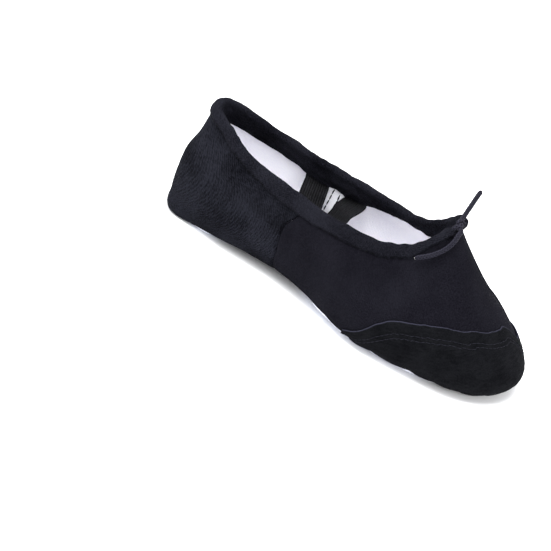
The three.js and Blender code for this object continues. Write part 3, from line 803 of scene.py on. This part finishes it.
def finish_piece(piece, slot, *nodes, body="upper"):
    """Hang a piece on its body and hide the CAD nodes it stands for; the slot is not used."""
    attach(piece, body)
    if nodes:
        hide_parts(*nodes)


def knot_path():
    """An overhand knot pulled tight."""
    s = np.linspace(0.15, 2 * np.pi - 0.15, 90)
    x = np.sin(s) + 2 * np.sin(2 * s)
    y = np.cos(s) - 2 * np.cos(2 * s)
    z = -np.sin(3 * s)
    return KNOT_CENTRE + np.stack([0.80 * z + 0.3, 0.62 * y, 0.58 * x], -1)


def make_drawstring():
    knot = tube("drawstring_knot_loops", knot_path(), 1.12, CORD)
    finish_piece(knot, "black_elastic", "drawstring_knot", body="drawstring")
    first = resample(LEFT_TAIL_ROUTE[::-1], 1.2)
    second = resample(RIGHT_TAIL_ROUTE, 1.2)
    middle = resample([LEFT_TAIL_ROUTE[0], KNOT_CENTRE + (0.3, 0, 0.6), RIGHT_TAIL_ROUTE[0]], 1.2)
    path = resample(np.concatenate([first, middle[1:-1], second]), 0.7)
    ends = tube("drawstring_ends", path, 1.08, CORD)
    finish_piece(ends, "black_elastic", "drawstring_tail_left", "drawstring_tail_right",
                 body="drawstring")
    for name, tip, before in (("left", path[0], path[2]), ("right", path[-1], path[-3])):
        out = unit(tip - before)
        core = tube("cut_tip_" + name, np.stack([tip - out * 0.2, tip + out * 0.12]), 0.5,
                    RUBBER, 12, False)
        finish_piece(core, "black_elastic", body="drawstring")


make_drawstring()


def gather_lift(t):
    side = (np.asarray(t, float) + 180) % 360 - 180
    return GATHER_LIFT * smoothstep(side, 5, 14) * fade(side, 34, 60)


def cord_in_casing():
    t = np.linspace(CASING_GAP_ANGLE + 1.5, 360 - CASING_GAP_ANGLE - 1.5, 260)
    path = cloth(t, row_at_depth(t, 2.15), -1.05)
    path[:, 2] += gather_lift(t)
    loop = tube("drawstring_in_casing", path, 1.0, CORD, 12)
    finish_piece(loop, "black_elastic", "drawstring_loop")
    for (name, side), before, end in zip(SIDES, (path[3], path[-4]), (path[0], path[-1])):
        knot_side = KNOT_CENTRE + (-0.6, side * 1.6, 0.0)
        strand = resample([before, end, (end + knot_side) / 2 + (0, 0, 0.3), knot_side], 0.5)
        piece = tube("drawstring_strand_" + name, strand, 0.98, CORD, 12)
        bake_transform(piece)


cord_in_casing()


# ---------- canvas, lining and toe cap

def cloth_coordinates(t, v, edge=0.0):
    return stack3(girth_of(t, v), depth_of(t, v), edge)


def cloth_rows(bottom, t, count, top_depth):
    """Row numbers from the bottom edge up to a depth below the top line."""
    top = row_at_depth(t, top_depth)
    share = np.linspace(0, 1, count)
    return bottom + (top[:, None] - bottom) * share[None, :]


def vamp_grid(bottom, columns, rows, top_depth, clearance):
    share = np.linspace(-1, 1, columns)
    v = cloth_rows(bottom, share * SEAM_ANGLES[0], rows, top_depth)
    return share[:, None] * (seam_angle(v) - clearance), v


def quarter_grid(side, bottom, columns, rows, top_depth, clearance):
    share = np.linspace(0, 1, columns)
    share = share if side > 0 else 1 - share
    v = cloth_rows(bottom, SEAM_ANGLES[0] + (180 - SEAM_ANGLES[0]) * share, rows, top_depth)
    start = seam_angle(v) + clearance
    return side * (start + (180 - start) * share[:, None]), v


def panel(name, grid, offset, thickness, material, slot):
    t, v = grid
    piece = shell(name + "_cloth", cloth(t, v, offset), thickness, material,
                  cloth_coordinates(t, v))
    finish_piece(piece, slot, name)


panel("vamp", vamp_grid(0.0, 250, 92, 3.6, 0.1), 0.0, 0.9, SMOOTH_CANVAS, "black_canvas")
for side_name, side in SIDES:
    grid = quarter_grid(side, 0.0, 96, 92, 3.6, 0.1)
    panel("quarter_" + side_name, grid, 0.0, 0.9, CANVAS, "black_canvas")
panel("vamp_lining", vamp_grid(1.08, 150, 56, 4.4, 0.05), -1.3, 0.65, COTTON, "white_cotton")
for side_name, side in SIDES:
    grid = quarter_grid(side, 1.08, 70, 56, 4.4, 0.05)
    panel("quarter_lining_" + side_name, grid, -1.3, 0.65, COTTON, "white_cotton")


def egg_points(egg, angle):
    x, length, width, bias, square = egg
    c = np.cos(np.radians(angle))
    s = np.sin(np.radians(angle))
    along = np.sign(c) * np.abs(c) ** square
    across = np.sign(s) * np.abs(s) ** square
    return x + length * along, width * across * (1 + bias * c)


def inside_egg(egg, x, y, margin):
    grown = (egg[0], egg[1] + margin, egg[2] + margin, egg[3], egg[4])
    edge_x, edge_y = egg_points(grown, np.linspace(180, 0, 181))
    return np.abs(y) < np.interp(x, edge_x, edge_y, left=-1, right=-1)


def cap_bottom(t):
    """The cap's lowest row: the sole margin, or the edge of the suede patch."""
    rows = np.arange(0, 1.32, 0.02)
    p = wall(t[:, None], rows[None, :])
    return inside_egg(FOREFOOT_PATCH, p[..., 0], p[..., 1], 0.6).sum(axis=1) * 0.02


def cap_top(t):
    """The cap's highest row, which runs lower on the left side."""
    drop = smoothstep(t, *CAP_DROP_ANGLES) * fade(t, 56, 72)
    return through(CAP_ANGLES, CAP_ROWS, np.abs(t)) - CAP_LEFT_DROP * drop


def make_toe_cap():
    columns = 240
    rows = 96
    t = np.linspace(-CAP_SPREAD, CAP_SPREAD, columns)
    raw = 0.012 * patchy(t / 2.6, 0, 0, 21) + 0.024 * patchy(t / 9, 0, 5, 22)
    high = cap_top(t) + raw
    low = cap_bottom(t)
    v = low[:, None] + (high - low)[:, None] * np.linspace(0, 1, rows)[None, :]
    t = np.broadcast_to(t[:, None], v.shape)
    edge = depth_of(t, v) - depth_of(t, v[:, -1:])
    tuck = (-0.32 * bump(edge - CAP_STITCH_DEPTHS[0], 0.8)
            - 0.22 * bump(edge - CAP_STITCH_DEPTHS[1], 0.7))
    lip = 0.10 * bump(edge - 1.2, 1.5)
    grain = 0.07 * patchy(girth_of(t, v) / 2.4, edge / 2.4, 3, 23)
    piece = shell("toe_cap_suede", cloth(t, v, CAP_OFFSET + tuck + lip + grain), 0.55, BLACK_SUEDE,
                  cloth_coordinates(t, v, edge))
    finish_piece(piece, "black_suede", "toe_cap")
    for number, below in enumerate(CAP_STITCH_DEPTHS):
        middle = np.abs(edge - below).argmin(axis=1)
        column = np.arange(columns)
        row_t = t[column, middle]
        row_v = v[column, middle]
        path = cloth(row_t, row_v, CAP_OFFSET - (0.20, 0.12)[number])
        thread = stitches("toe_cap_stitches_%d" % (number + 1), path, outward(row_t, row_v), 2.3,
                          0.86, 0.17, 0.2, GREY_THREAD)
        finish_piece(thread, "black_suede")


make_toe_cap()


# ---------- casing

LEG_POINTS = 26
ARC_POINTS = 13
INNER_POINTS = 22


def near_straps(t):
    """1 where a strap is sewn to the wall, fading to 0 beside it."""
    at = [angle_at_x(x, STRAP_HEIGHT) for x in (STRAP_REAR_X, STRAP_FRONT_X)]
    away = np.min([np.abs(folded(t) - a) for a in at], axis=0)
    return fade(away, 5, 10)


def outer_leg(t):
    """The outer leg's points, from just below its stitches up to the crest."""
    stitch = casing_depth(t)[:, None] - 1.7
    leg = CREST_RADIUS + (stitch + 0.7 - CREST_RADIUS) * np.linspace(1, 0, LEG_POINTS)[None, :]
    roll = np.sin(np.pi * np.clip((leg - CREST_RADIUS) / (stitch - CREST_RADIUS), 0, 1))
    side = (t + 180) % 360 - 180
    gathered = fade(folded(t), 18, 38) * np.where(side > 0, 0.5, -0.3)
    offset = 1.1 + (0.45 + gathered[:, None]) * roll
    offset = offset - 1.3 * smoothstep(leg, stitch - 0.7, stitch + 0.3)
    column_t = np.broadcast_to(t[:, None], leg.shape)
    return cloth(column_t, row_at_depth(column_t, leg), offset)


def crest(t):
    """The round crest over the cord, from the outer leg to the inner one."""
    v = row_at_depth(t, CREST_RADIUS)
    middle = cloth(t, v, CREST_MIDDLE)
    out = outward(t, v)
    up = unit(np.cross(out, unit(wall(t + 0.4, v) - wall(t - 0.4, v))))
    angle = np.linspace(0, np.pi, ARC_POINTS + 2)[1:-1]
    arc = np.cos(angle)[None, :, None] * out[:, None] + np.sin(angle)[None, :, None] * up[:, None]
    return middle[:, None] + CREST_RADIUS * arc


def inner_leg(t):
    """The inner leg's points, from the crest down over the lining and the strap ends."""
    share = np.linspace(0, 1, INNER_POINTS)[None, :]
    low_edge = through(INNER_LEG_ANGLES, INNER_LEG_DEPTHS, folded(t))[:, None]
    depth = CREST_RADIUS + (low_edge - CREST_RADIUS) * share
    column_t = np.broadcast_to(t[:, None], depth.shape)
    over_straps = 0.3 + 1.1 * near_straps(t)[:, None]
    hang = 2 * CREST_MIDDLE - 1.1 - over_straps * smoothstep(share, 0, 0.5)
    return cloth(column_t, row_at_depth(column_t, depth), hang - 0.35 * np.sin(np.pi * share))


def casing_grid(t):
    """The casing's outer face: up the outer leg, over the crest and down the inner leg."""
    grid = np.concatenate([outer_leg(t), crest(t), inner_leg(t)], axis=1)
    turns = (0, LEG_POINTS - 1, LEG_POINTS + ARC_POINTS - 1, grid.shape[1] - 1)
    share = np.interp(np.arange(grid.shape[1]), turns, (0, 1, 1, 0.15))
    grid[..., 2] += gather_lift(t)[:, None] * share[None, :]
    return grid


def make_casing():
    t = np.linspace(CASING_GAP_ANGLE, 360 - CASING_GAP_ANGLE, 460)
    grid = casing_grid(t)
    girth = travel(grid[:, LEG_POINTS])
    around = travel(grid, 1)
    front = fade(folded(t), 16, 60)[:, None]
    where = stack3(girth[:, None] / 3.0, around / 10, 0)
    slanted = stack3(girth[:, None] / 6.5 + around / 9, around / 15, 7)
    folds = (0.20 + 0.34 * front) * noise(where, 31) + 0.26 * noise(slanted, 32)
    folds = folds + 0.05 * patchy(girth[:, None] / 1.3, around / 1.3, 5, 33)
    grid = grid + grid_normals(grid) * folds[..., None]
    ends = np.minimum(t - t[0], t[-1] - t)[:, None, None]
    middle = grid[:, 12:40].mean(axis=1, keepdims=True)
    puff = 0.16 * smoothstep(ends, 0.5, 2.5) * fade(ends, 5, 11)
    grid = middle + (grid - middle) * (0.74 + 0.26 * smoothstep(ends, 0, 2.2) + puff)
    coordinates = stack3(girth[:, None], around, 9.0)
    piece = shell("casing_cloth", grid, 0.75, BINDING, coordinates)
    finish_piece(piece, "black_binding", "casing")
    stitch_t = np.linspace(34, 326, 640)
    stitch_v = row_at_depth(stitch_t, casing_depth(stitch_t) - 1.9)
    path = cloth(stitch_t, stitch_v, 0.62)
    thread = stitches("casing_stitches", path, outward(stitch_t, stitch_v), 2.9, 0.66, 0.17, 0.22,
                      BLACK_THREAD)
    finish_piece(thread, "black_binding")


make_casing()


# ---------- sole

def row_above(x, v):
    """Row v's point at x, and the cosine of its angle."""
    toe = wall(np.zeros_like(v), v)[..., 0]
    heel = wall(np.full_like(v, 180.0), v)[..., 0]
    c = (x - (toe + heel) / 2) / ((toe - heel) / 2)
    return wall(np.degrees(np.arccos(np.clip(c, -1, 1))), v), c


def inside_row(x, y, v):
    p, c = row_above(x, v)
    return (np.abs(c) < 1) & (np.abs(y) < p[..., 1])


def underside(x, y):
    """Height of the cloth's underside above points of the ground plan."""
    _, high = halved(np.zeros_like(x), np.full_like(x, 1.7), lambda v: ~inside_row(x, y, v), 16)
    z = row_above(x, high)[0][..., 2]
    return np.where(inside_row(x, y, np.zeros_like(x)), MARGIN_HEIGHT + arch_lift(x), z)


def plate(name, x, y, bottom, top, material, coordinates):
    """A closed plate from concentric rings: the first index goes round, the second outwards."""
    segments, rings = x.shape
    upper = stack3(x, y, top)
    lower = stack3(x, y, bottom)
    middle = (upper[:, -1] + lower[:, -1]) / 2
    middle[:, :2] += unit(middle[:, :2] - middle[:, :2].mean(axis=0)) * 0.35
    count = segments * rings
    points = np.concatenate([upper.reshape(-1, 3), lower.reshape(-1, 3), middle])
    quads = grid_quads(segments, rings, wrap=True)
    around = np.arange(segments)
    top_edge = around * rings + rings - 1
    rim = 2 * count + around
    faces = [quads[:, ::-1], quads + count]
    for near, far in ((top_edge + count, rim), (rim, top_edge)):
        faces.append(np.stack([near, np.roll(near, -1), np.roll(far, -1), far], -1))
    faces = np.concatenate(faces).tolist()
    faces.append((around * rings).tolist())
    faces.append((around[::-1] * rings + count).tolist())
    shades = np.concatenate([coordinates.reshape(-1, 3)] * 2 + [coordinates[:, -1]])
    return add_mesh(name, points, faces, material, shades)


STITCH_ROWS = (4.4, 8.2)


def egg_rings(egg, segments, rings, ragged=0.0):
    """Plan positions of an egg's rings, and each one's distance in from the edge."""
    angle = np.linspace(0, 360, segments, endpoint=False)
    edge_x, edge_y = egg_points(egg, angle)
    if ragged:
        around = np.radians(angle)
        rough = patchy(9 * np.cos(around), 9 * np.sin(around), 0, 41)
        rough = rough + 0.7 * patchy(30 * np.cos(around), 30 * np.sin(around), 3, 42)
        grow = 1 + ragged * rough / np.hypot(edge_x - egg[0], edge_y)
        edge_x = egg[0] + (edge_x - egg[0]) * grow
        edge_y = edge_y * grow
    share = np.linspace(0.02, 1, rings)[None, :] ** 0.8
    x = egg[0] + (edge_x - egg[0])[:, None] * share
    y = edge_y[:, None] * share
    tangent = unit(np.stack([np.roll(edge_x, -1) - np.roll(edge_x, 1),
                             np.roll(edge_y, -1) - np.roll(edge_y, 1)], -1))
    away = np.abs((edge_x - egg[0]) * tangent[:, 1] - edge_y * tangent[:, 0])
    return x, y, (1 - share) * away[:, None]


def make_patch(name, egg, rows, segments, rings):
    x, y, edge = egg_rings(egg, segments, rings, 0.28)
    roof = underside(x, y)
    groove = sum(0.30 * bump(edge - row, 0.55) for row in rows)
    quilt = 0.10 * smoothstep(edge, 0, 3) * (1 + patchy(x / 9, y / 9, 1, 43))
    skirt = 0.35 * fade(edge, 0, 1.2)
    bottom = roof - MARGIN_HEIGHT + groove + skirt + quilt * (edge > max(rows))
    bottom = np.maximum(bottom, 0.0)
    piece = plate(name + "_suede", x, y, bottom, roof - 0.45, WHITE_SUEDE, stack3(x, y, edge))
    finish_piece(piece, "white_suede", name)
    for number, row in enumerate(rows):
        middle = np.abs(edge - row).argmin(axis=1)
        around = np.arange(segments)
        path = stack3(x[around, middle], y[around, middle], bottom[around, middle])
        path = np.concatenate([path, path[:1]])
        path = np.stack([np.convolve(np.r_[path[-4:-1, k], path[:, k], path[1:4, k]],
                                     np.ones(7) / 7, "valid") for k in range(3)], -1)
        down = np.tile((0.0, 0.0, -1.0), (len(path), 1))
        # Each row gets white stitches over a near-black thread sunk into the suede; it shows between
        # the stitches as painted shade in the needle holes and the stitch groove.
        for kind, higher, *thread in (("stitches", 0, 0.74, 0.27, 0.3, WHITE_THREAD),
                                      ("needle_hole_shade", 0.02, 0.98, 0.30, 0.10, GREY_THREAD)):
            sewn = stitches("%s_%s_%d" % (name, kind, number + 1), path + (0, 0, higher), down,
                            4.1, *thread)
            finish_piece(sewn, "white_suede")


make_patch("forefoot_patch", FOREFOOT_PATCH, STITCH_ROWS, 300, 70)
make_patch("heel_patch", HEEL_PATCH, (3.6, 6.8), 200, 44)


def row_rings(row, margin, segments, rings):
    angle = np.linspace(0, 360, segments, endpoint=False)
    signed = (angle + 180) % 360 - 180
    edge = row_point(row, signed)
    along = unit((row_point(row, signed + 1) - row_point(row, signed - 1))[:, :2])
    edge_x = edge[:, 0] - margin * along[:, 1]
    edge_y = edge[:, 1] + margin * along[:, 0]
    share = np.linspace(0.02, 1, rings)[None, :]
    return edge_x[:, None] * share, edge_y[:, None] * share, (1 - share) * 20


def make_under_layers():
    x, y, edge = row_rings(ROWS[0], -0.3, 200, 30)
    floor = MARGIN_HEIGHT + arch_lift(x)
    sag = 0.18 * patchy(x / 12, y / 12, 0, 51) * smoothstep(edge, 0, 3)
    piece = plate("sole_canvas_cloth", x, y, floor + np.minimum(sag, 0.1), floor + 0.9, CANVAS,
                  stack3(x, y, edge))
    finish_piece(piece, "black_canvas", "sole_canvas")
    x, y, edge = row_rings(ROWS[1], 0.9, 220, 40)
    floor = MARGIN_HEIGHT + arch_lift(x)
    dish = 0.35 * patchy(x / 22, y / 22, 4, 52) + 0.12 * patchy(x / 7, y / 7, 4, 53)
    top = floor + 3.3 + dish * smoothstep(edge, 0, 4) - 0.25 * fade(edge, 0, 1.5)
    piece = plate("insole_cloth", x, y, floor + 2.5, top, COTTON, stack3(x, y, edge))
    finish_piece(piece, "white_cotton", "insole")


make_under_layers()


def make_pad(name, egg):
    x, y, edge = egg_rings(egg, 96, 24)
    floor = MARGIN_HEIGHT + arch_lift(x)
    crown = np.sqrt(np.clip(edge / 6, 0, 1)) * 0.45
    piece = plate(name + "_cloth", x, y, floor + 1.7 - crown, floor + 1.75 + crown, COTTON,
                  stack3(x, y, edge))
    finish_piece(piece, "white_cotton", name)


make_pad("forefoot_pad", FOREFOOT_PAD)
make_pad("heel_pad", HEEL_PAD)


# ---------- seam tapes and straps

TAPE_HALF_ANGLE = 3.6
TAPE_HEIGHTS = (8, 40.5)
TAPE_TOP = (-24.0, 34.0)
TAPE_LEAN = 0.12      # the tape runs a little forwards as it rises
TAPE_ROW = 0.36       # each stitch row's place, in shares of half the tape's width


def make_tape(name, side):
    heights = np.linspace(*TAPE_HEIGHTS, 60)
    knots = np.linspace(*TAPE_HEIGHTS, 6)
    angles = [angle_at_x(TAPE_TOP[0] + TAPE_LEAN * (z - TAPE_TOP[1]), z) for z in knots]
    centre = through(knots, angles, heights)
    middle_v = row_at_height(centre, heights)
    share = np.linspace(-1, 1, 13)
    t = side * centre[None, :] + share[:, None] * TAPE_HALF_ANGLE
    v = np.broadcast_to(middle_v[None, :], t.shape)
    outer = cloth(t, v, -2.15)
    piece = shell("seam_tape_%s_cloth" % name, outer, 0.6, TAPE,
                  stack3(share[:, None] * 4.5, heights[None, :], 9))
    finish_piece(piece, "white_tape", "seam_tape_" + name)
    for number, place in ((1, -TAPE_ROW), (2, TAPE_ROW)):
        t = side * centre + place * TAPE_HALF_ANGLE
        thread = stitches("seam_tape_%s_stitches_%d" % (name, number), cloth(t, middle_v, -2.75),
                          -outward(t, middle_v), 3.1, 0.99, 0.36, 0.34, BLACK_THREAD)
        finish_piece(thread, "white_tape")


for side_name, side in SIDES:
    make_tape(side_name, side)


def make_strap_end(strap, side_name, x, side):
    heights = np.linspace(*STRAP_END_HEIGHTS, 18)
    middle = angle_at_x(x, STRAP_HEIGHT)
    share = np.linspace(-1, 1, 40)
    t = side * middle + share[:, None] * STRAP_END_HALF_ANGLE + np.zeros((1, 18))
    v = row_at_height(np.abs(t), np.broadcast_to(heights[None, :], t.shape))
    piece = shell("strap_%s_end_%s_band" % (strap, side_name), cloth(t, v, -2.7), 0.7, ELASTIC,
                  stack3(heights[None, :], share[:, None] * STRAP_HALF_WIDTH, 0))
    finish_piece(piece, "black_elastic", "strap_%s_end_%s" % (strap, side_name))


def strap_line(left_x, right_x, depth):
    """Centre line, width directions and face directions of a hanging strap, left to right."""
    middle_x = (left_x + right_x) / 2
    slant = (left_x - right_x) / 2 / STRAP_WALL_REACH
    angle = np.radians(np.linspace(16, 164, 31))
    hang_y = STRAP_REACH * np.cos(angle)
    hang_z = STRAP_HEIGHT - depth * np.sin(angle)
    reach = {}
    for side, x in ((1, left_x), (-1, right_x)):
        t = side * angle_at_x(x, STRAP_HEIGHT)
        heights = np.array([40.5, 37.5, 34.0])
        v = row_at_height(np.full(3, abs(t)), heights)
        reach[side] = cloth(np.full(3, t), v, -3.3 - 0.3 * (heights < 35))
    turn = hang_y / STRAP_WALL_REACH
    turn = 0.5 * turn + 0.5 * np.sin(np.pi / 2 * turn)
    hang = stack3(middle_x + slant * STRAP_WALL_REACH * turn, hang_y, hang_z)
    line = resample(np.concatenate([reach[1], hang, reach[-1][::-1]]), 0.8)
    chord = unit(np.array([slant, 1.0, 0.0]))
    crossed = np.array([chord[1], -chord[0], 0.0])
    share = smoothstep(line[:, 2], 39, 25)[:, None]
    across = unit(np.array([1.0, 0.0, 0.0]) * (1 - share) + crossed * share)
    tangent = unit(np.gradient(line, axis=0))
    face = unit(np.cross(across, tangent))
    face = face * np.sign(-face[len(face) // 2, 2])
    return line, across, face


def make_strap(strap, left_x, right_x, depth):
    line, across, face = strap_line(left_x, right_x, depth)
    middle = int(np.abs(line[:, 1]).argmin())
    travelled = travel(line)
    share = np.linspace(-1, 1, 47)
    rib = 0.09 * np.cos(share * STRAP_HALF_WIDTH * 2 * np.pi / 1.15)
    for (side_name, side), part in zip(SIDES, (slice(0, middle + 1), slice(middle, len(line)))):
        grid = line[part, None] + across[part, None] * (STRAP_HALF_WIDTH * share)[None, :, None]
        grid = grid + face[part, None] * (STRAP_THICKNESS / 2 + rib)[None, :, None]
        coordinates = stack3(travelled[part][:, None], share[None, :] * STRAP_HALF_WIDTH, 0)
        if (grid_normals(grid)[5, 20] * face[part][5]).sum() < 0:
            grid = grid[:, ::-1]
        piece = shell("strap_%s_%s_band" % (strap, side_name), grid, STRAP_THICKNESS, ELASTIC,
                      coordinates)
        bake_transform(piece)
        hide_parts("strap_" + strap)


for strap, left, right, depth in (("a", STRAP_REAR_X, STRAP_FRONT_X, 12.5),
                                  ("b", STRAP_FRONT_X, STRAP_REAR_X, 15.5)):
    make_strap(strap, left, right, depth)
    for (side_name, side), x in zip(SIDES, (left, right)):
        make_strap_end(strap, side_name, x, side)


# ---------- floor and light

def make_floor():
    g = Graph("pale_floor")
    cloud = g.noise(g.body_mm(), 0.01, 2.0)
    colour = g.mix(cloud, (0.86, 0.86, 0.87), (0.90, 0.90, 0.90))
    g.finish(colour, g.ramp(cloud, 0.3, 0.7, 0.6, 0.7), cloud, 0.05)
    mesh = bpy.data.meshes.new("floor")
    mesh.from_pydata([(-3, -3, 0), (3, -3, 0), (3, 3, 0), (-3, 3, 0)], [], [(0, 1, 2, 3)])
    mesh.materials.append(g.material)
    floor = add_object("floor", mesh)
    floor.location.z = -0.0002


def add_light(name, place, size, power, colour=(1, 1, 1)):
    data = bpy.data.lights.new(name, "AREA")
    data.shape = "SQUARE"
    data.size = size
    data.energy = power
    data.color = colour
    light = add_object(name, data)
    light.location = place
    light.rotation_mode = "QUATERNION"
    light.rotation_quaternion = (-Vector(place)).to_track_quat("-Z", "Y")


make_floor()
add_light("softbox_top", (-0.15, -0.2, 1.1), 0.9, 26)
add_light("softbox_left", (-1.1, -0.5, 0.6), 0.7, 13, (0.95, 0.97, 1))
add_light("softbox_right", (1.1, -0.5, 0.6), 0.7, 11)
world = bpy.data.worlds.new("studio")
world.use_nodes = True
world.node_tree.nodes["Background"].inputs[0].default_value = (0.97, 0.98, 1, 1)
world.node_tree.nodes["Background"].inputs[1].default_value = 1.1
bpy.context.scene.world = world
bpy.context.scene.view_settings.view_transform = "Standard"
